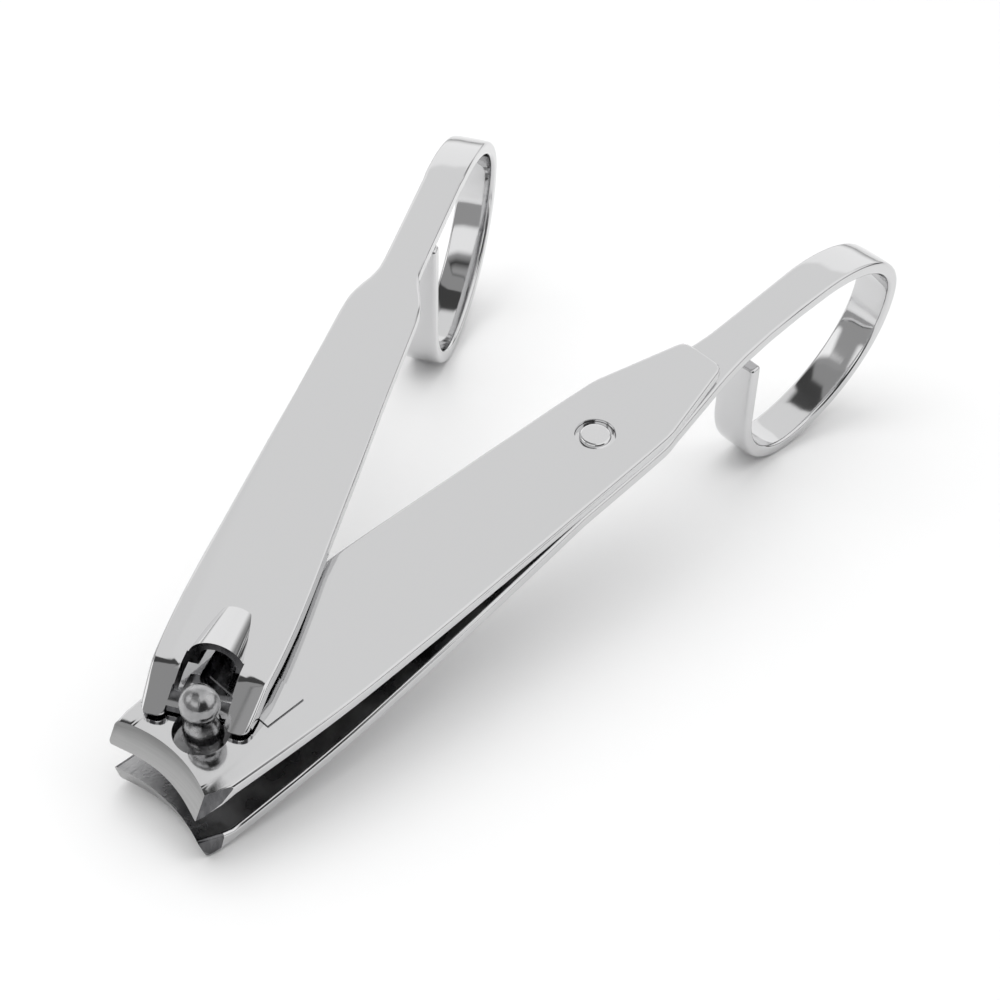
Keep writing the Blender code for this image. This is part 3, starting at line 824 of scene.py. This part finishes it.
def build_lever(chrome, sheared_painted_shade):
    """The lever: nose, strap and ring in one strip, with the hood, the window and two feet."""
    ring = ring_path(LEVER_RING_END_Z, LEVER_RING_SHIFT, LEVER_RING_DEEPER)
    crease_start = NOSE_CREASE - CREASE_REACH
    crease_end = NOSE_CREASE + CREASE_REACH
    strap_x = LEVER_OUTLINE[-1][0]
    xs = spaced(NOSE_TIP, crease_start, LIP_STEP)
    xs += spaced(crease_start, crease_end, CREASE_STEP)[1:]
    xs += spaced(crease_end, LEVER_SHOULDER_X, LEVER_STEP)[1:]
    xs += spaced(LEVER_SHOULDER_X, strap_x, LEVER_SHOULDER_STEP)[1:]
    xs += spaced(strap_x, LEVER_STRAP_END, STRIP_STEP)[1:]
    outer = []
    for x in xs:
        smooth = abs(x - NOSE_CREASE) < CREASE_REACH
        blend = (crease_end - x) / (2 * CREASE_REACH)
        level = -NOSE_SLOPE * CREASE_REACH * blend * blend if smooth else lever_top(x)
        outer.append((x, level))
    widths = [float(half_width(LEVER_OUTLINE, np.array(min(x, strap_x)))) for x in xs]
    widths += [LEVER_RING_HALF_WIDTH] * len(ring)
    sheets = [SHEET] * len(widths)
    lever = strip("lever_strip", outer + ring, widths, sheets, (chrome, sheared_painted_shade), paint_lever)
    shell = keep_above(hood("hood", 0, HOOD_FRONT[0], HOOD_BACK[0], chrome), -SHEET / 2)
    cut(lever, shell, operation="UNION")
    # The hood's hollow, the window's sides and the crossbar's faces take the near-black material:
    # painted shade.
    cut(lever, hood("hood_hollow", -HOOD_SHEET, HOOD_FRONT[0] - 1, HOOD_BACK[0] - 0.2, sheared_painted_shade))
    wide = WINDOW_HALF_WIDTH
    back = CROSSBAR[1]
    cut(lever, box("window", (back, -wide, -4), (WINDOW_END, wide, 4), sheared_painted_shade))
    low = (-3, -FOOT_INNER, CROSSBAR[2])
    cut(lever, box("above_crossbar", low, (back + 0.3, FOOT_INNER, 4), sheared_painted_shade))
    cut(lever, box("between_feet", (-6, -FOOT_INNER, -6), (CROSSBAR[0], FOOT_INNER, 4), sheared_painted_shade))
    cut(lever, box("foot_level", (-6, -9, -9), (7, 9, FOOT_BOTTOM), chrome))
    for side in (-1, 1):
        round_corner(lever, side, -1, FOOT_INNER, FOOT_ROUND[0], chrome)
        round_corner(lever, side, 1, FOOT_OUTER, FOOT_ROUND[1], chrome)
    return finish_edges(lever)


# --- Scene ---------------------------------------------------------------------------------------


def make_floor():
    bm = bmesh.new()
    bmesh.ops.create_grid(bm, x_segments=1, y_segments=1, size=FLOOR_SIZE)
    material = bpy.data.materials.new("pale_floor")
    material.use_nodes = True
    shader = material.node_tree.nodes["Principled BSDF"]
    shader.inputs["Base Color"].default_value = (0.94, 0.94, 0.94, 1)
    shader.inputs["Roughness"].default_value = 0.9
    shader.inputs["Specular IOR Level"].default_value = 0.1
    floor = add_object("floor", bm, material)


def fade(nodes, links, value, low, high, soft):
    """1 between low and high, falling to 0 over soft degrees on both sides."""
    sides = []
    for near, far in ((low - soft, low + soft), (high + soft, high - soft)):
        edge = nodes.new("ShaderNodeMapRange")
        edge.interpolation_type = "SMOOTHSTEP"
        edge.inputs["From Min"].default_value = near
        edge.inputs["From Max"].default_value = far
        links.new(value, edge.inputs["Value"])
        sides.append(edge.outputs["Result"])
    return calculate(nodes, links, "MULTIPLY", *sides)


def calculate(nodes, links, operation, first, second):
    """One Math node: each operand is a socket or a number."""
    node = nodes.new("ShaderNodeMath")
    node.operation = operation
    for given, socket in zip((first, second), node.inputs):
        if isinstance(given, (int, float)):
            socket.default_value = given
        else:
            links.new(given, socket)
    return node.outputs["Value"]


def make_world(camera_at):
    """A dark studio with soft panels round the object, behind a plain white backdrop."""
    world = bpy.data.worlds.new("studio")
    bpy.context.scene.world = world
    world.use_nodes = True
    nodes = world.node_tree.nodes
    links = world.node_tree.links
    place = nodes.new("ShaderNodeTexCoord")
    turn = nodes.new("ShaderNodeMapping")
    turn.vector_type = "POINT"
    turn.inputs["Rotation"].default_value = (0, 0, -math.atan2(-camera_at.y, -camera_at.x))
    links.new(place.outputs["Generated"], turn.inputs["Vector"])
    split = nodes.new("ShaderNodeSeparateXYZ")
    links.new(turn.outputs["Vector"], split.inputs["Vector"])
    right = calculate(nodes, links, "MULTIPLY", split.outputs["Y"], -1)
    azimuth = calculate(nodes, links, "ARCTAN2", right, split.outputs["X"])
    azimuth = calculate(nodes, links, "MULTIPLY", azimuth, 180 / math.pi)
    elevation = calculate(nodes, links, "ARCSINE", split.outputs["Z"], 0)
    elevation = calculate(nodes, links, "MULTIPLY", elevation, 180 / math.pi)
    total = AMBIENT
    for across, height, soft, level in PANELS:
        panel = calculate(
            nodes,
            links,
            "MULTIPLY",
            fade(nodes, links, azimuth, *across, soft),
            fade(nodes, links, elevation, *height, soft),
        )
        panel = calculate(nodes, links, "MULTIPLY", panel, level)
        total = calculate(nodes, links, "MAXIMUM", panel, total)
    seen = nodes.new("ShaderNodeLightPath").outputs["Is Camera Ray"]
    total = calculate(nodes, links, "MAXIMUM", seen, total)
    links.new(total, nodes["Background"].inputs["Color"])


def make_light(name, at, size, power):
    light = bpy.data.lights.new(name, "AREA")
    light.shape = "RECTANGLE"
    light.size, light.size_y = size
    light.energy = power
    made = bpy.data.objects.new(name, light)
    bpy.context.scene.collection.objects.link(made)
    made.location = at
    made.rotation_euler = (-Vector(at)).to_track_quat("-Z", "Y").to_euler()
    made.visible_glossy = False


def make_camera(plate):
    camera = bpy.data.cameras.new("camera")
    camera.lens = CAMERA_LENS
    camera.sensor_width = CAMERA_SENSOR
    camera.clip_start = CAMERA_CLIP
    made = bpy.data.objects.new("camera", camera)
    bpy.context.scene.collection.objects.link(made)
    turn = Euler([math.radians(angle) for angle in CAMERA_TURN]).to_matrix().to_4x4()
    made.matrix_world = plate @ Matrix.Translation(Vector(CAMERA_AT) * MM) @ turn
    bpy.context.scene.camera = made
    return made


def stand_in(piece, matrix, node, body):
    """Put a finished piece in place of a CAD node, its mesh in the world's axes."""
    settle(piece)
    piece.data.transform(matrix @ piece.matrix_basis)
    piece.matrix_basis = Matrix()
    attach(piece, body)
    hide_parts(node)


def main():
    joints = {joint["name"]: joint for joint in frame["joints"]}
    plate = plate_frame(joints)
    lever_at = lever_frame(plate, joints)
    chrome = make_chrome()
    inner = make_inner()
    ground = make_ground()
    sheared_painted_shade = make_sheared_painted_shade()
    upper = build_upper_jaw(chrome, inner, ground, sheared_painted_shade)
    stand_in(upper, plate, "upper_jaw", "upper_jaw")
    lower = build_lower_jaw(chrome, inner, ground, sheared_painted_shade)
    stand_in(lower, plate, "lower_jaw", "body")
    stand_in(build_rivet(make_rivet_steel()), plate, "tail_rivet", "body")
    post = build_post(make_post_steel())
    x, z, radius = NOTCH
    notch = rod("notch", radius, (x, -6, z), (x, 6, z), chrome)
    yaw = (plate.inverted() @ lever_at).to_euler().z
    notch.data.transform(Matrix.Rotation(yaw, 4, "Z"))
    finish_edges(cut(post, notch))
    stand_in(post, plate, "pivot_post", "post")
    stand_in(build_lever(chrome, sheared_painted_shade), lever_at, "lever", "lever")
    make_floor()
    make_light("key", KEY_AT, KEY_SIZE, KEY_POWER)
    camera = make_camera(plate)
    make_world(camera.matrix_world.translation)
    bpy.context.scene.view_settings.view_transform = "Standard"


main()
